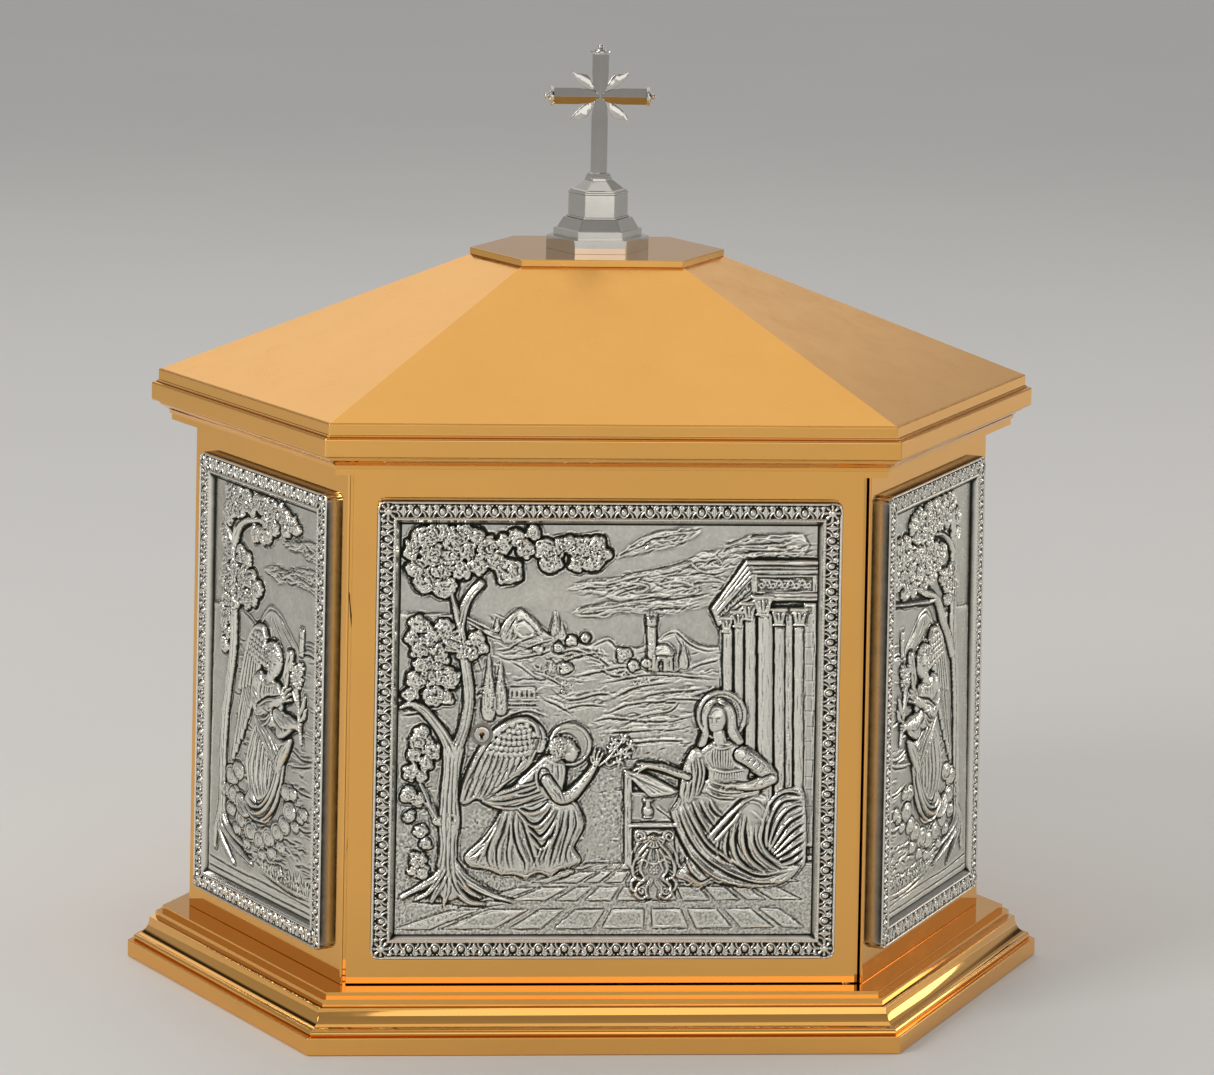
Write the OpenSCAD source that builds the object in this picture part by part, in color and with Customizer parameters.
// Tabernacle with an elongated six-sided plan: moulded base, polished case,
// relief door on pivot hinges with a rack-driven lock, two relief side panels,
// stepped cornice, pyramid roof, pedestal and cross.
// Millimetres, +Z up. Origin: centre of the underside of the base.
// The front (door) faces -Y, the hinges are at +X and the lock at -X.

/* [Case] */
// width of the front face between its two corners
face_w = 260; // [256:1:264]
// length of each of the four slanting side faces
side_w = 156; // [150:2:162]
// height of the polished case between base and cornice
case_h = 255.8; // [255.8:0.2:258]
// thickness of the case sheet
wall = 3; // [2.6:0.1:3.2]

/* [Base] */
// height of the plinth step
plinth_h = 8.6; // [7:0.2:10]
// height of the hollow moulding above the plinth
cove_h = 11.8; // [10:0.2:13]
// height of the cap moulding the case stands on
cap_h = 6.1; // [5.5:0.1:7]
// how far the plinth stands out from the case
plinth_out = 27.5; // [26:0.5:29]
// how far the cap moulding stands out from the case
cap_out = 12; // [11.5:0.1:12.5]

/* [Cornice and roof] */
// height of the flat soffit ring
soffit_h = 3.3; // [3:0.1:4]
// how far the soffit ring stands out from the case
soffit_out = 11.3; // [10.5:0.1:11.5]
// height of the curved bed moulding
bed_h = 7; // [6.4:0.1:8]
// height of the lower eave fascia
fascia_low_h = 9.6; // [8:0.2:11]
// how far the lower eave fascia stands out
fascia_low_out = 20.7; // [19.5:0.1:22]
// height of the upper eave fascia
fascia_up_h = 6.6; // [5.6:0.2:8]
// how far the upper eave fascia stands out
fascia_up_out = 17.6; // [16.8:0.1:18.4]
// rise of the roof from the eave to its top plate
roof_h = 61.5; // [56:0.5:66]
// half width of the front edge of the roof's top plate
crown_x = 41.9; // [38:0.5:46]
// half depth of the roof's top plate
crown_y = 43.5; // [40:0.5:47]
// thickness of the roof's top plate
crown_t = 3.7; // [3:0.1:5]

/* [Door] */
// half width of the door opening
open_x = 128.9; // [128.5:0.1:129]
// gap beside the door on the lock side
gap_lock = 1.6; // [1.3:0.1:2]
// gap beside the door on the hinge side
gap_hinge = 0.7; // [0.7:0.05:0.9]
// gap under the door, bridged by the hinge washer
gap_low = 0.7; // [0.6:0.05:0.9]
// gap above the door
gap_top = 0.8; // [0.6:0.1:1]
// depth of the door pan from front to back
door_d = 14.1; // [13.8:0.1:14.3]
// thickness of the door sheet
door_t = 2.5; // [2.2:0.1:2.8]
// radius of the hinge pins
pin_r = 1.6; // [1.4:0.1:1.7]
// radial running clearance of the hinge pins and the lock barrel
run_c = 0.05; // [0.02:0.01:0.08]

/* [Reliefs] */
// width of the door relief with its border
relief_w = 231; // [226:1:233]
// height of all three reliefs with their borders
relief_h = 228; // [222:1:232]
// height of the reliefs' centre above the base's underside
relief_z = 154.4; // [152:0.2:157]
// width of the side reliefs with their borders
side_relief_w = 130.4; // [126:0.2:132]
// width of the ornamented border
border_w = 12; // [11:0.5:13]
// how far the border stands out from the case
border_out = 5.6; // [5:0.1:6.2]
// thickness of the relief sheet behind its figures
sheet_t = 1.5; // [1.2:0.1:1.7]

/* [Lock] */
// how far the keyhole sits left of the middle of the door
key_x = 62; // [60:0.5:64]
// height of the keyhole above the base's underside
key_z = 152; // [150:0.5:154]
// pitch radius of the pinion on the barrel
pinion_r = 4.5; // [4.5]
// number of teeth on the pinion
pinion_n = 10; // [10]

/* [Cross] */
// height of the cross arms' centre line above the cross foot's seat
cross_c = 42.8; // [40:0.2:46]
// half span of the arms to the outside of the end balls
cross_half = 29.5; // [28:0.5:31]
// thickness of the cross from front to back
cross_t = 6.5; // [5.5:0.5:8]

/* [Hidden] */
$fn = 48;

gold = [0.87, 0.66, 0.34];
silver = [0.62, 0.62, 0.58];
bright = [0.82, 0.83, 0.82];
steel = [0.55, 0.56, 0.58];
brass = [0.78, 0.63, 0.32];

half_depth = side_w * sin(60); // of the case, front to back
ped_base_h = 16.7;
die_h = 12.8;
ped_cap_h = 7.7;

// undersides of the stacked pieces, from the base upwards
cap_z = plinth_h + cove_h;
base_h = cap_z + cap_h;
top_z = base_h + case_h;
bed_z = top_z + soffit_h;
fascia_low_z = bed_z + bed_h;
fascia_up_z = fascia_low_z + fascia_low_h;
eave_z = fascia_up_z + fascia_up_h;
crown_z = eave_z + roof_h;
ped_z = crown_z + crown_t;
die_z = ped_z + ped_base_h;
ped_cap_z = die_z + die_h;
foot_z = ped_cap_z + ped_cap_h;
arm_z = foot_z + cross_c;

// door edges
door_left = -open_x + gap_lock;
door_right = open_x - gap_hinge;
door_bottom = base_h + gap_low;
door_top = top_z - gap_top;

// depths (names ending in _d) are measured back from the front plane
hinge_x = door_right - 6;
hinge_d = 3.2;
stop_d = door_d + 0.5;
stop_t = 4;

// ---------- plan helpers ----------
// hexagon with a given half width of its front edge and half depth
function hexagon(half_front, half_deep) =
  let (half_mid = half_front + half_deep * tan(30))
  [[-half_front, -half_deep], [half_front, -half_deep], [half_mid, 0],
   [half_front, half_deep], [-half_front, half_deep], [-half_mid, 0]];
// plan outline of the case offset outwards
function outline(out) = hexagon(face_w / 2 + out * tan(30), half_depth + out);
module plan2d(out) { polygon(outline(out)); }
module ring(outer, inner, bottom, top)
  translate([0, 0, bottom]) linear_extrude(top - bottom)
    difference() { plan2d(outer); plan2d(inner); }
// closed profile of [stand-out, height] swept round the plan
module moulding(profile) {
  n = len(profile);
  points = [for (i = [0:5]) for (p = profile) let (v = outline(p[0])[i]) [v[0], v[1], p[1]]];
  faces = [for (i = [0:5]) for (j = [0:n - 1])
    let (next_i = (i + 1) % 6, next_j = (j + 1) % n)
    [i * n + j, i * n + next_j, next_i * n + next_j, next_i * n + j]];
  polyhedron(points, faces);
}
// children drawn in the front face: local x right, y up, z outwards from the face
module on_front() translate([0, -half_depth, 0]) rotate([90, 0, 0]) children();
// the same on a slanting front side face, side = 1 right, -1 left
module on_side(side) translate([side * (face_w / 2 + side_w / 4), -half_depth / 2, 0])
  rotate([0, 0, side * 60]) rotate([90, 0, 0]) children();
// slab in the face between two depths behind its plane; negative is outwards
module slab(front, back) translate([0, 0, -back]) linear_extrude(back - front) children();
module rect(left, bottom, right, top)
  translate([left, bottom]) square([right - left, top - bottom]);
module hex_prism(r, h, z = 0) translate([0, 0, z]) cylinder(r = r, h = h, $fn = 6);
// hexagonal frustum cut by three prisms, vertices on the x axis
module hex_frustum(bottom_r, top_r, h)
  intersection_for (k = [0:2]) rotate([0, 0, 30 + 60 * k]) rotate([90, 0, 0])
    translate([0, 0, -60]) linear_extrude(120)
      polygon([[-bottom_r * cos(30), 0], [bottom_r * cos(30), 0],
               [top_r * cos(30), h], [-top_r * cos(30), h]]);

// ---------- fasteners ----------
// seat under the head at z = 0, head upwards
module cap_screw(shank_r, shank_l, head_r, head_h) {
  cylinder(r = head_r, h = head_h);
  translate([0, 0, -shank_l]) cylinder(r = shank_r, h = shank_l);
}
// screw in the face, its head seated on the back at a given depth
module back_screw(depth, shank_r, shank_l, head_r, head_h)
  translate([0, 0, -depth]) rotate([180, 0, 0]) cap_screw(shank_r, shank_l, head_r, head_h);

// screws through the floor and ceiling plates
plate_t = 3;
plate_screw_r = 2;
plate_screws_at = [for (side = [-1, 1])
  for (p = [[100, half_depth - 8], [170, 48], [170, -48]]) [side * p[0], p[1]]];
module at_plate_screws(z) for (p = plate_screws_at) translate([p[0], p[1], z]) children();
module plate_holes(z, h) at_plate_screws(z) cylinder(r = plate_screw_r, h = h);
module plate_screws(z, shank_l)
  at_plate_screws(z) cap_screw(plate_screw_r, shank_l, head_r = 4, head_h = 1.8);

// studs behind the relief borders
stud_r = 1.5;
stud_hole_r = 1.55;
stud_inset = 6;
stud_rise = relief_h / 2 - stud_inset;
nut_h = 2.6;
module at_side_studs(z) for (side = [-1, 1]) on_side(side)
  for (x = [-30, 30]) for (v = [-1, 1]) translate([x, relief_z + v * stud_rise, z]) children();
module at_door_studs(z) for (side = [-1, 1]) for (v = [-1, 1])
  translate([side * (relief_w / 2 - stud_inset), relief_z + v * stud_rise, z]) children();
module nut() difference() {
  cylinder(r = 3.3, h = nut_h, $fn = 6);
  translate([0, 0, -1]) cylinder(r = stud_r + 0.02, h = 5);
}

// ---------- base ----------
base_inner = 5; // stand-out of the inner edge of the plinth and cove
cap_inner = -12; // the same for the base cap and the soffit ring
seat_h = 5; // depth of the lower hinge pin in the base

module base_plinth() color(gold) ring(plinth_out, base_inner, 0, plinth_h);

module base_cove_moulding() color(gold) {
  z = plinth_h;
  out = plinth_out - 3.2;
  top_out = 17.8;
  lip_h = 2.8;
  lip = [[base_inner, z], [out + 0.2, z], [out + 0.7, z + 0.9], [out + 0.5, z + 1.9],
         [out, z + 2.6]];
  cove = [for (i = [0:7]) let (angle = i * 90 / 7)
    [top_out + (out - top_out) * (1 - sin(angle)),
     z + lip_h + (cove_h - lip_h) * (1 - cos(angle))]];
  moulding(concat(lip, cove, [[base_inner, z + cove_h]]));
}

module base_cap_moulding() color(gold) difference() {
  step_z = cap_z + 3.4;
  union() {
    ring(cap_out + 3, cap_inner, cap_z, step_z);
    ring(cap_out, cap_inner, step_z, base_h);
  }
  at_hinge(base_h - seat_h) cylinder(r = pin_r, h = 10);
  plate_holes(base_h - 5, 10);
}

module floor_plate() color(gold) difference() {
  translate([0, 0, base_h]) linear_extrude(plate_t) intersection() {
    plan2d(-wall);
    translate([-300, -half_depth + stop_d]) square([600, 600]);
  }
  // bolt holes for fixing the tabernacle down
  for (x = [-110, 110]) for (y = [-60, 60]) translate([x, y, base_h - 1]) cylinder(r = 4.5, h = 6);
  plate_holes(base_h - 1, 6);
}
module floor_screws() color(steel) plate_screws(base_h + plate_t, shank_l = 7);

// ---------- case ----------
module body_shell() color(gold) difference() {
  ring(0, -wall, base_h, top_z);
  translate([-open_x, -half_depth - 1, base_h - 1])
    cube([2 * open_x, 1 + wall + 1.3, case_h + 2]);
  at_side_studs(-wall - 1) cylinder(r = stud_hole_r, h = wall + 2);
}

strike_t = 1;
strike_edge = -112; // edge of the stop frame's opening and of the strike plate
strike_hole_r = 1.2;
module at_strike_screws() for (z = [key_z - 14, key_z + 2]) translate([-121.5, z]) children();

module door_stop_frame() color(gold) difference() {
  translate([0, 0, base_h + plate_t]) linear_extrude(case_h - plate_t) intersection() {
    plan2d(-wall);
    translate([-300, -half_depth + stop_d]) square([600, stop_t]);
  }
  on_front() slab(stop_d - 1, stop_d + stop_t + 1)
    rect(strike_edge, base_h + 11.5, -strike_edge, top_z - 11.3);
  on_front() slab(stop_d - 1, stop_d + stop_t + 1) at_strike_screws() circle(r = strike_hole_r);
}
module strike_plate() color(steel) on_front()
  slab(stop_d + stop_t, stop_d + stop_t + strike_t) difference() {
    rect(-125, key_z - 18, strike_edge, key_z + 6);
    at_strike_screws() circle(r = strike_hole_r);
  }
module strike_screws() color(steel) on_front() at_strike_screws()
  back_screw(stop_d + stop_t + strike_t, shank_r = strike_hole_r, shank_l = 4.5,
             head_r = 1.9, head_h = 0.5);

// ---------- hinges ----------
pin_reach = 9.5; // length of the pins between base and cornice
bush_h = 8.9;
module at_hinge(z) translate([hinge_x, -half_depth + hinge_d, z]) children();

module hinge_pin_lower() color(steel)
  at_hinge(base_h - seat_h) cylinder(r = pin_r, h = seat_h + pin_reach);
module hinge_pin_upper() color(steel)
  at_hinge(top_z - pin_reach) cylinder(r = pin_r, h = pin_reach + 3);
module hinge_washer() color(brass) at_hinge(base_h) difference() {
  cylinder(r = 2.9, h = gap_low - 0.05);
  translate([0, 0, -1]) cylinder(r = pin_r + 0.01, h = 4);
}
module bush() difference() {
  cylinder(r = pin_r + 0.89, h = bush_h);
  translate([0, 0, -1]) cylinder(r = pin_r + run_c, h = 12);
}
module hinge_bush_lower() color(brass) at_hinge(door_bottom) bush();
module hinge_bush_upper() color(brass) at_hinge(door_top - bush_h) bush();

// ---------- cornice and roof ----------
eave_inner = 8; // stand-out of the inner edge of both fasciae
rod_r = 2.5;
rod_hole_r = 2.6;
rod_tight_r = 2.52; // hole in the nut and the cross foot
module rod_bore(h) translate([0, 0, -1]) cylinder(r = rod_hole_r, h = h + 2);

module cornice_soffit_ring() color(gold) difference() {
  ring(soffit_out, cap_inner, top_z, bed_z);
  at_hinge(top_z - 1) cylinder(r = pin_r, h = 4);
  plate_holes(top_z - 1, 10);
}
module cornice_bed_moulding() color(gold) {
  inner = -1;
  low_out = soffit_out + 1.1;
  high_out = fascia_low_out - 3.6;
  lip_out = high_out + 0.4;
  z = bed_z;
  top = z + bed_h;
  wave = [for (i = [0:8]) let (u = i / 8)
    [low_out + (high_out - low_out) * (u - 0.13 * sin(360 * u)), z + 0.7 + (bed_h - 1.5) * u]];
  moulding(concat([[inner, z], [low_out, z]], wave,
    [[lip_out, top - 0.4], [lip_out, top], [inner, top]]));
}
module eave_lower_fascia() color(gold) {
  z = fascia_low_z;
  top = z + fascia_low_h;
  out = fascia_low_out;
  moulding([[eave_inner, z], [out - 0.5, z], [out, z + 0.5], [out, top - 0.6],
            [out - 0.6, top], [eave_inner, top]]);
}
module eave_upper_fascia() color(gold) {
  z = fascia_up_z;
  top = z + fascia_up_h;
  out = fascia_up_out;
  moulding([[eave_inner, z], [out + 0.9, z], [out + 1, z + 0.5], [out + 0.3, z + 1],
            [out, z + 1.1], [out, top - 0.3], [out - 0.3, top], [eave_inner, top]]);
}
module ceiling_plate() color(gold) difference() {
  translate([0, 0, bed_z]) linear_extrude(plate_t) plan2d(-2);
  translate([0, 0, bed_z]) rod_bore(plate_t);
  plate_holes(bed_z - 1, 6);
}
module ceiling_screws() color(steel) plate_screws(bed_z + plate_t, shank_l = 6.2);

module roof_shell() color(gold) {
  out = fascia_up_out - 0.5;
  inset = 4.1; // horizontal thickness of the shell
  // [hexagon, height]: outside bottom and top, inside top and bottom
  loops = [
    [outline(out), eave_z],
    [hexagon(crown_x, crown_y), crown_z],
    [hexagon(crown_x - inset * tan(30), crown_y - inset), crown_z],
    [outline(out - inset), eave_z]];
  points = [for (l = loops) for (p = l[0]) [p[0], p[1], l[1]]];
  polyhedron(points, [for (k = [0:3]) for (i = [0:5])
    let (next_k = (k + 1) % 4, next_i = (i + 1) % 6)
    [k * 6 + i, next_k * 6 + i, next_k * 6 + next_i, k * 6 + next_i]]);
}
module roof_top_plate() color(gold) translate([0, 0, crown_z]) difference() {
  linear_extrude(crown_t) polygon(hexagon(crown_x, crown_y));
  rod_bore(crown_t);
}

// ---------- pedestal and tie rod ----------
module pedestal_base() color(bright) translate([0, 0, ped_z]) difference() {
  union() {
    hex_prism(r = 27, h = 7);
    hex_prism(r = 23.3, h = 4, z = 7);
    translate([0, 0, 11]) hex_frustum(bottom_r = 21.6, top_r = 18, h = 5.7);
  }
  rod_bore(ped_base_h);
}
module pedestal_die() color(bright) translate([0, 0, die_z]) difference() {
  union() {
    hex_prism(r = 16.6, h = 1);
    hex_prism(r = 15.7, h = 11.8, z = 1);
  }
  rod_bore(die_h);
}
module pedestal_cap() color(bright) translate([0, 0, ped_cap_z]) difference() {
  union() {
    hex_prism(r = 15.9, h = 1);
    hex_prism(r = 14.9, h = 0.9, z = 1);
    translate([0, 0, 1.9]) hex_frustum(bottom_r = 13.8, top_r = 7.6, h = 4.6);
    hex_prism(r = 7.2, h = 1.7, z = 6);
  }
  translate([0, 0, -1]) cylinder(r = spigot_r + 0.05, h = 10);
}
module tie_rod() color(steel) {
  bottom = top_z - 5;
  translate([0, 0, bottom]) cylinder(r = rod_r, h = foot_z + 1 - bottom);
}
rod_washer_t = 1.2;
rod_nut_h = 4.4;
module tie_rod_washer() color(steel) translate([0, 0, bed_z - rod_washer_t]) difference() {
  cylinder(r = 7, h = rod_washer_t);
  rod_bore(2);
}
module tie_rod_nut() color(steel) translate([0, 0, bed_z - rod_washer_t - rod_nut_h]) difference() {
  cylinder(r = 5, h = rod_nut_h, $fn = 6);
  translate([0, 0, -1]) cylinder(r = rod_tight_r, h = 7);
}

// ---------- cross ----------
spigot_r = 4.4; // part of the foot inside the pedestal cap
spigot_h = 7;
arm_l = cross_half - 5.2;
top_arm_l = arm_l - 2;
arm_w = 8.6;

module cross_foot() color(bright) translate([0, 0, foot_z]) difference() {
  union() {
    translate([0, 0, -spigot_h]) cylinder(r = spigot_r, h = spigot_h + 1);
    cylinder(r = 6.6, h = 1.4, $fn = 8);
    translate([0, 0, 1.4]) cylinder(r = 5.9, h = 1, $fn = 8);
  }
  translate([0, 0, -8]) cylinder(r = rod_tight_r, h = 9.6);
}
// half outline of an arm pointed at the centre: [along the arm, half width],
// widened by grow
function arm_edge(l, grow) = [for (p = [
  [0, 0.05], [1, 0.95], [2.2, 1.95], [4, 2.95], [6.5, 3.7],
  [9, 0.47 * arm_w], [12, arm_w / 2], [l, arm_w / 2]]) [p[0], p[1] + grow]];
module arm2d(l, grow = 0) {
  edge = arm_edge(l, grow);
  polygon(concat(edge, [for (i = [7:-1:0]) [edge[i][0], -edge[i][1]]]));
}
// one arm of ridged section along +x from the centre
module arm(l) intersection() {
  ridge = cross_t / 2;
  edge = 0.8; // half thickness at the rims
  half_w = arm_w / 2 + 0.01;
  rotate([90, 0, 90]) linear_extrude(l)
    polygon([[-half_w, -edge], [-half_w, edge], [0, ridge],
             [half_w, edge], [half_w, -edge], [0, -ridge]]);
  translate([0, 0, -8]) linear_extrude(16) arm2d(l);
}
// children drawn upright about the crossing of the arms
module at_crossing() translate([0, 0, arm_z]) rotate([90, 0, 0]) children();

module cross_body() color(bright) at_crossing() {
  // [direction, length]
  for (a = [[0, arm_l], [90, top_arm_l], [180, arm_l], [270, cross_c - 2.4]])
    rotate([0, 0, a[0]]) arm(a[1]);
  rotate([0, 0, 45]) cube([6, 6, 2.6], center = true);
}
// outline of the upper right ray: [x, y] from the crossing
ray = [
  [1.27, 2.975], [3.2, 5.6], [5, 8.2], [6.1, 10.2], [7.6, 11.5], [9.8, 12], [12.4, 12],
  [15.2, 13.2], [14.9, 11.6], [14, 9.9], [12.4, 8], [10.4, 6.1], [8.2, 4.5], [5.4, 2.9],
  [2.975, 1.27]];
module cross_rays() color(bright) at_crossing() for (a = [-1, 1]) for (b = [-1, 1])
  translate([0, 0, -1]) linear_extrude(2) difference() {
    polygon([for (p = ray) [a * p[0], b * p[1]]]);
    for (angle = [0:90:270]) rotate([0, 0, angle]) arm2d(30, grow = 0.02);
  }
// stepped disc with a ball on top
module finial(z) translate([0, 0, z]) {
  cylinder(r = 4.9, h = 0.7);
  translate([0, 0, 0.7]) cylinder(r = 5.4, h = 1);
  translate([0, 0, 1.7]) cylinder(r = 3, h = 0.6);
  translate([0, 0, 3.7]) sphere(r = 1.6);
}
module cross_finials() color(bright) translate([0, 0, arm_z]) {
  for (side = [-1, 1]) rotate([0, side * 90, 0]) finial(arm_l);
  finial(top_arm_l);
}

// ---------- relief borders ----------
side_lift = 0.002; // hairline gap between the side reliefs and the case

// rectangular ring between two insets from a w x h rectangle
module frame2d(w, h, outer, inner) difference() {
  square([w - 2 * outer, h - 2 * outer], center = true);
  square([w - 2 * inner, h - 2 * inner], center = true);
}
// disc between two tongues, flipped by side
module disc_and_tongues(side) {
  translate([0, -0.6 * side]) circle(r = 2.1, $fn = 16);
  for (q = [-1, 1])
    polygon([[q * 3, -2.6 * side], [q * 4.6, 0], [q * 3.6, 3.4 * side], [q * 2.7, 0.6 * side]]);
}
// border with a stepped section and a running ornament
module border(w, h) {
  bed = -border_out + 1.2; // level the rims and ornament stand on
  motif = 12.6; // nominal ornament pitch
  nx = round((w - border_w) / motif);
  ny = round((h - border_w) / motif);
  pitch_x = (w - border_w) / nx;
  pitch_y = (h - border_w) / ny;
  row_inset = border_w / 2 + 0.4;
  slab(bed, 0) frame2d(w, h, 0, border_w);
  slab(-border_out, bed) frame2d(w, h, 0, 1.2);
  slab(-border_out + 0.3, bed) frame2d(w, h, border_w - 2.5, border_w);
  slab(-border_out + 0.2, bed) for (side = [-1, 1]) {
    for (i = [0:nx - 1])
      translate([(i - (nx - 1) / 2) * pitch_x, side * (h / 2 - row_inset)])
        disc_and_tongues(side);
    for (i = [0:ny - 1])
      translate([side * (w / 2 - row_inset), (i - (ny - 1) / 2) * pitch_y])
        rotate([0, 0, -90]) disc_and_tongues(side);
  }
}
module on_side_relief(side) on_side(side) translate([0, relief_z, side_lift]) children();
module side_frame(side) on_side_relief(side) border(side_relief_w, relief_h);

module door_relief_frame() color(silver)
  on_front() translate([0, relief_z, 0]) border(relief_w, relief_h);
module left_relief_frame() color(silver) side_frame(-1);
module right_relief_frame() color(silver) side_frame(1);

// ---------- relief scenes ----------
// Outlines are [x, y] from the middle of the relief.

// layer standing a given height above the sheet
module raised(height) slab(-sheet_t - height, -sheet_t + 0.1) children();
// leaf clumps: [x, y, size]
module foliage(clumps) raised(2.6) for (c = clumps) translate([c[0], c[1]]) {
  circle(r = c[2] * 0.62, $fn = 20);
  for (i = [0:5]) rotate([0, 0, 60 * i]) translate([c[2] * 0.66, 0])
    circle(r = c[2] * 0.3, $fn = 16);
}
// three cloud streaks: each drops by fall, its left end moving right by shift
module clouds(streak, shift, fall) raised(1) for (i = [0:2])
  polygon([for (p = streak) [p[0] + (p[0] < 0 ? shift * i : 0), p[1] - fall * i]]);
module halo(at, r, fn = 36) raised(1) translate(at) circle(r = r, $fn = fn);
// two overlapping discs, the lower one smaller
module head(at, height, upper_r, lower_r, lower_x) raised(height) translate(at) {
  circle(r = upper_r, $fn = 28);
  translate([lower_x, -3]) circle(r = lower_r, $fn = 28);
}

// garden and temple with a seated and a winged figure
module door_scene() {
  // floor rows with joints between them
  for (i = [0:3]) {
    left = -28 - 9 * i;
    top = -66 - 9 * i;
    raised(0.5) polygon([[left, top], [102, top], [102, top - 7], [left - 7, top - 7]]);
  }
  hill = [[-56, 52], [-46, 58], [-36, 50], [-2, 50], [14, 46], [40, 40], [40, 20], [-56, 20]];
  raised(0.6) polygon(hill);
  clouds([[-10, 78], [60, 90], [60, 87], [-8, 74]], shift = 12, fall = 7);

  trunk = [
    [-101, -84], [-92, -80], [-85, -66], [-82, -36], [-84, -16], [-88, 4], [-84, 5],
    [-80, -14], [-76, -4], [-72, 22], [-76, 48], [-72, 50], [-67, 24], [-70, -8],
    [-76, -30], [-75, -58], [-68, -76], [-50, -82], [-60, -88]];
  raised(2.2) polygon(trunk);
  foliage([
    [-86, 92, 9], [-74, 82, 8], [-62, 86, 8], [-50, 96, 9], [-34, 86, 7], [-92, 74, 7],
    [-80, 66, 8], [-64, 70, 7], [-50, 74, 6], [-90, 50, 7], [-78, 44, 7], [-67, 44, 6],
    [-90, -8, 7], [-84, 18, 6], [-92, -34, 6], [-93, -54, 6]]);

  // small tower and domed chapel on the hill
  raised(1.2) {
    rect(19, 42, 23, 60);
    rect(22, 30, 32, 38);
    translate([27, 38]) circle(r = 5, $fn = 24);
  }

  // temple: cornice, frieze and columns, one of them thicker
  cornice = [[70, 84], [103, 85], [103, 77], [70, 76], [54, 60], [50, 62]];
  raised(2.6) polygon(cornice);
  raised(1.8) rect(74, 66, 103, 77);
  for (x = [61, 66, 71, 79, 89, 96, 101]) {
    half_w = x == 79 ? 4 : 1.7;
    raised(x == 79 ? 3.2 : 2) rect(x - half_w, -36, x + half_w, 58);
  }

  // seated figure
  seated_robe = [
    [36, -70], [34, -56], [44, -40], [48, -24], [50, -12], [44, -6], [46, 2], [60, 2],
    [66, -6], [72, -24], [84, -44], [98, -62], [92, -74], [60, -76]];
  seated_arm = [[44, 0], [44, -12], [34, -22], [22, -22], [22, -18], [32, -16], [38, 0]];
  seated_neck = [[50, 12], [58, 14], [62, 4], [50, 4]];
  raised(2.4) polygon(seated_robe);
  raised(3) polygon(seated_arm);
  halo([56, 18], r = 12, fn = 40);
  head([53.5, 17], height = 3.3, upper_r = 5, lower_r = 4, lower_x = 0);
  raised(2.6) polygon(seated_neck);

  // reading desk
  raised(2.6) {
    rect(11, -36, 38, -32);
    rect(12, -66, 36, -36);
    polygon([[8, -8], [34, -18], [22, -20], [6, -12]]);
    rect(20, -33, 24, -22);
  }

  // winged figure
  wing = [
    [-41, 16], [-46, -6], [-60, -20], [-80, -32], [-66, -26], [-48, -28], [-36, -20],
    [-30, -4], [-28, 2]];
  robe = [
    [-32, -4], [-24, -2], [-20, -16], [-26, -30], [-10, -62], [-22, -70], [-46, -70],
    [-66, -66], [-48, -56], [-38, -34], [-36, -16]];
  forearm = [[-28, -6], [-22, -20], [-6, -2], [-8, 0], [-22, -12]];
  raised(2) polygon(wing);
  raised(2.6) polygon(robe);
  raised(3) polygon(forearm);
  halo([-19.5, 5], r = 9.6);
  head([-21.5, 3], height = 3.2, upper_r = 4.6, lower_r = 3.4, lower_x = 1);
}

// tree, hill and winged figure with a staff; the right panel (side = 1) is mirrored
module side_scene(side) mirror([side == 1 ? 1 : 0, 0]) {
  hill = [[-53, -20], [-8, 8], [8, 26], [22, 6], [53, -4], [53, -101], [-53, -101]];
  trunk = [
    [-52, -98], [-46, -70], [-45, -30], [-48, 10], [-50, 60], [-44, 60], [-41, 12],
    [-38, -28], [-38, -66], [-22, -96]];
  wing = [[-2, -2], [-10, -20], [-24, -50], [-16, -60], [-6, -30], [6, -14]];
  robe = [
    [2, -8], [14, -8], [20, -24], [16, -40], [26, -84], [0, -92], [-14, -86],
    [-4, -44], [-2, -24]];
  forearm = [[14, -12], [20, -24], [34, -12], [32, -9], [19, -17]];
  staff = [[33, -30], [34.4, -30], [36, 24], [34.6, 24]];
  raised(0.6) polygon(hill);
  clouds([[-6, 62], [52, 72], [52, 69], [-4, 59]], shift = 8, fall = 8);
  raised(2.2) polygon(trunk);
  foliage([
    [-42, 90, 9], [-26, 84, 8], [-46, 70, 8], [-30, 66, 8], [-14, 88, 7], [-40, 40, 8],
    [-28, 28, 6], [-46, 12, 6], [-34, -8, 6]]);
  raised(2) polygon(wing);
  raised(2.6) polygon(robe);
  raised(3) polygon(forearm);
  raised(0.9) polygon(staff);
  halo([8, 4], r = 9);
  head([8.5, 2], height = 3.1, upper_r = 4.5, lower_r = 3.4, lower_x = 1);
}

// sheet inside the border of a relief w wide, carrying the scene given as children
module plaque(w) {
  field = [w - 2 * border_w, relief_h - 2 * border_w];
  slab(-sheet_t, 0) square(field, center = true);
  intersection() {
    children();
    slab(-8, 1) square(field, center = true);
  }
}
module side_plaque(side) on_side_relief(side) plaque(side_relief_w) side_scene(side);

module door_relief_plaque() color(silver) on_front() difference() {
  translate([0, relief_z, 0]) plaque(relief_w) door_scene();
  translate([lock_x, key_z, -10]) cylinder(r = 3.8, h = 30);
}
module left_relief_plaque() color(silver) side_plaque(-1);
module right_relief_plaque() color(silver) side_plaque(1);

module side_panel_studs() color(brass) at_side_studs(-8.5) cylinder(r = stud_r, h = 8.5);
module side_panel_nuts() color(brass) at_side_studs(-wall - nut_h) nut();

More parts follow.
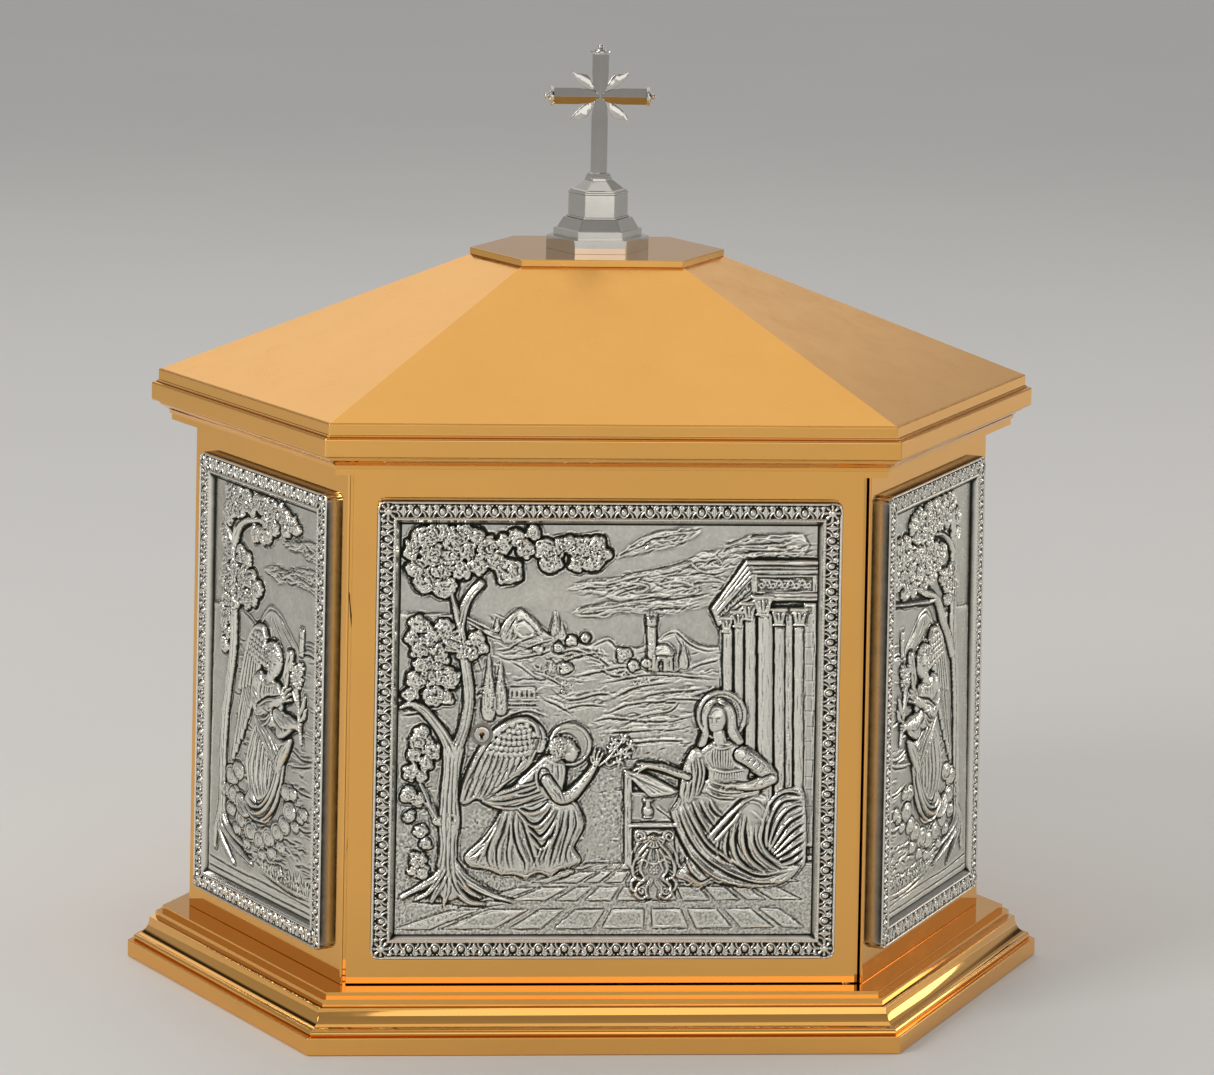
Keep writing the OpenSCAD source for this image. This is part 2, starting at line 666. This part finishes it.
// ---------- door ----------
back_t = 2; // thickness of the back plate
back_gap = 0.1; // gap round the back plate
pan_right = 116; // hinge-side end of the pan's hollow
module at_door_screws(z = 0) for (x = [-97, 3, 97]) for (y = [base_h + 18.5, top_z - 20])
  translate([x, y, z]) children();

module door_pan() color(gold) difference() {
  // [x, depth behind the front plane]
  section = [
    [door_left, 0], [door_right - 2, 0], [door_right - 0.6, 0.6], [door_right, 2],
    [door_right, 12.1], [door_right - 6, door_d], [door_left, door_d]];
  pocket_h = 9; // for the hinge bushes
  union() {
    translate([0, 0, door_bottom]) linear_extrude(door_top - door_bottom)
      translate([0, -half_depth]) difference() {
        polygon(section);
        translate([door_left + door_t, door_t]) square([pan_right - door_left - door_t, 40]);
      }
    on_front() slab(0, door_d) {
      rect(door_left, door_bottom, pan_right + 1, door_bottom + door_t);
      rect(door_left, door_top - door_t, pan_right + 1, door_top);
    }
    on_front() at_door_screws(-door_d + back_t)
      cylinder(r = 4, h = door_d - back_t - door_t + 0.5);
  }
  for (z = [door_bottom - 1, door_top - pocket_h])
    at_hinge(z) cylinder(r = pin_r + 0.9, h = pocket_h + 1);
  on_front() {
    translate([lock_x, key_z, -10]) cylinder(r = sleeve_hole_r, h = 12);
    at_door_screws(-door_d) cylinder(r = 1.5, h = 9);
    at_door_studs(-5) cylinder(r = stud_hole_r, h = 6);
  }
}
module door_back_plate() color(gold) on_front() slab(door_d - back_t, door_d) difference() {
  edge = door_t + back_gap;
  rect(door_left + edge, door_bottom + edge, pan_right - back_gap, door_top - edge);
  at_door_screws() circle(r = 1.55);
  translate([lock_x, key_z]) circle(r = sleeve_hole_r);
  at_lock_screws() circle(r = lock_screw_r);
}
module back_plate_screws() color(steel) on_front() at_door_screws()
  back_screw(door_d, shank_r = 1.5, shank_l = 7, head_r = 3, head_h = 1.2);
module door_panel_studs() color(brass) on_front() at_door_studs(-7) cylinder(r = stud_r, h = 7);
module door_panel_nuts() color(brass) on_front() at_door_studs(-door_t - nut_h) nut();

// ---------- lock ----------
lock_x = -key_x;
case_d0 = door_d;
case_d1 = door_d + 12;
case_t = 1.5;
bolt_d0 = stop_d + stop_t + 1.5;
bolt_d1 = bolt_d0 + 4;
bolt_bottom = -13; // from the lock axis
bolt_gap = 0.05;
mouth_gap = 0.15;
sleeve_r = 3.7;
sleeve_hole_r = 3.72;
barrel_r = 2.8;
spindle_r = 2; // rear part of the barrel
lock_screw_r = 1.2;

// gearing
pressure_angle = 25;
tooth_mod = 2 * pinion_r / pinion_n;
tooth_pitch = PI * tooth_mod;
tooth_top = 0.8 * tooth_mod; // above the pitch line
tooth_root = 1.06 * tooth_mod; // below the pitch line
gear_base_r = pinion_r * cos(pressure_angle);

module at_lock() on_front() translate([lock_x, key_z, 0]) children();
module at_lock_screws() for (x = [-102, -46]) for (z = [-17, 15])
  translate([x, key_z + z]) children();
// outline of the lock case, drawn in by inset
module lock_rect(inset = 0)
  rect(-106 + inset, key_z - 21 + inset, -42 - inset, key_z + 19 - inset);

module keyhole2d() {
  circle(r = 1.25, $fn = 32);
  polygon([[-0.45, 0], [0.45, 0], [0.8, -2.7], [-0.8, -2.7]]);
}
module keyhole_escutcheon() color(bright) at_lock() slab(-sheet_t - 1.3, -sheet_t) difference() {
  circle(r = 3.75);
  keyhole2d();
}
module lock_sleeve() color(brass) at_lock() slab(-sheet_t, door_d + 1.5) difference() {
  circle(r = sleeve_r);
  circle(r = barrel_r + run_c);
}
module lock_barrel() color(brass) at_lock() difference() {
  union() {
    slab(-sheet_t + 0.05, door_d + 1.6) circle(r = barrel_r);
    slab(door_d + 1.5, case_d1 + 2.6) circle(r = spindle_r);
  }
  slab(-6, 9) intersection() {
    keyhole2d();
    circle(r = 2.4, $fn = 32);
  }
}

// involute angle at a radius, in degrees
function involute(r) = r <= gear_base_r ? 0
  : let (angle = acos(gear_base_r / r)) tan(angle) * 180 / PI - angle;
// half angle of a tooth at a radius, eased by 0.76 degrees
function half_tooth(r) = 90 / pinion_n - 0.76 + involute(pinion_r) - involute(r);
function polar(r, angle) = [r * cos(angle), r * sin(angle)];
// pinion with a tooth space pointing down
module pinion2d() {
  radii = [pinion_r - tooth_root, gear_base_r, pinion_r - 0.1, pinion_r + 0.25,
           pinion_r + tooth_top];
  polygon([for (k = [0:pinion_n - 1])
    let (middle = -90 + 180 / pinion_n + 360 / pinion_n * k)
    each concat([for (i = [0:4]) polar(radii[i], middle - half_tooth(radii[i]))],
                [for (i = [4:-1:0]) polar(radii[i], middle + half_tooth(radii[i]))])]);
}
module lock_pinion() color(steel) at_lock() slab(bolt_d0, bolt_d1) difference() {
  pinion2d();
  circle(r = spindle_r);
}
// bolt: a bar with a straight rack along its top edge, drawn withdrawn
module lock_bolt() color(steel) at_lock() slab(bolt_d0, bolt_d1) {
  half_w = tooth_pitch / 4 - 0.06; // of a tooth on the pitch line
  root_x = half_w + tan(pressure_angle) * tooth_root;
  top_x = half_w - tan(pressure_angle) * tooth_top;
  rect(-43.5, bolt_bottom, 17.5, -pinion_r - tooth_root);
  for (k = [-1:6]) translate([k * tooth_pitch, -pinion_r])
    polygon([[-root_x, -tooth_root - 0.2], [root_x, -tooth_root - 0.2], [root_x, -tooth_root],
             [top_x, tooth_top], [-top_x, tooth_top], [-root_x, -tooth_root]]);
}
module lock_case() color(steel) on_front() difference() {
  union() {
    slab(case_d0, case_d1) difference() {
      lock_rect();
      lock_rect(case_t);
    }
    slab(case_d0, case_d0 + case_t) lock_rect(1);
    at_lock_screws() slab(case_d0, case_d1) square(5.2, center = true);
    // rail under the bolt and pad in front of it
    slab(case_d0, case_d1 - 0.4) rect(-98, key_z - 20, -50, key_z + bolt_bottom - bolt_gap);
    slab(case_d0, bolt_d0 - bolt_gap) rect(-100, key_z - 14, -70, key_z - 6);
  }
  translate([lock_x, key_z]) slab(case_d0 - 1, case_d0 + 3) circle(r = sleeve_hole_r);
  at_lock_screws() slab(case_d0 - 1, case_d1 + 1) circle(r = lock_screw_r);
  // mouth for the bolt
  slab(bolt_d0 - mouth_gap, bolt_d1 + mouth_gap)
    rect(-107, key_z + bolt_bottom - mouth_gap, -103, key_z - 5.3);
}
module lock_cover() color(steel) on_front() slab(case_d1, case_d1 + case_t) difference() {
  lock_rect();
  translate([lock_x, key_z]) circle(r = spindle_r + run_c);
  at_lock_screws() circle(r = lock_screw_r);
}
module lock_screws() color(steel) on_front() at_lock_screws()
  back_screw(case_d1 + case_t, shank_r = lock_screw_r, shank_l = 15, head_r = 2.4, head_h = 1.2);

base_plinth();
base_cove_moulding();
base_cap_moulding();
floor_plate();
floor_screws();
body_shell();
door_stop_frame();
strike_plate();
strike_screws();
hinge_pin_lower();
hinge_pin_upper();
hinge_washer();
cornice_soffit_ring();
cornice_bed_moulding();
eave_lower_fascia();
eave_upper_fascia();
ceiling_plate();
ceiling_screws();
roof_shell();
roof_top_plate();
pedestal_base();
pedestal_die();
pedestal_cap();
tie_rod();
tie_rod_washer();
tie_rod_nut();
cross_foot();
cross_body();
cross_rays();
cross_finials();
left_relief_frame();
left_relief_plaque();
right_relief_frame();
right_relief_plaque();
side_panel_studs();
side_panel_nuts();
door_pan();
door_back_plate();
back_plate_screws();
door_relief_frame();
door_relief_plaque();
door_panel_studs();
door_panel_nuts();
hinge_bush_lower();
hinge_bush_upper();
keyhole_escutcheon();
lock_sleeve();
lock_case();
lock_cover();
lock_screws();
lock_barrel();
lock_pinion();
lock_bolt();
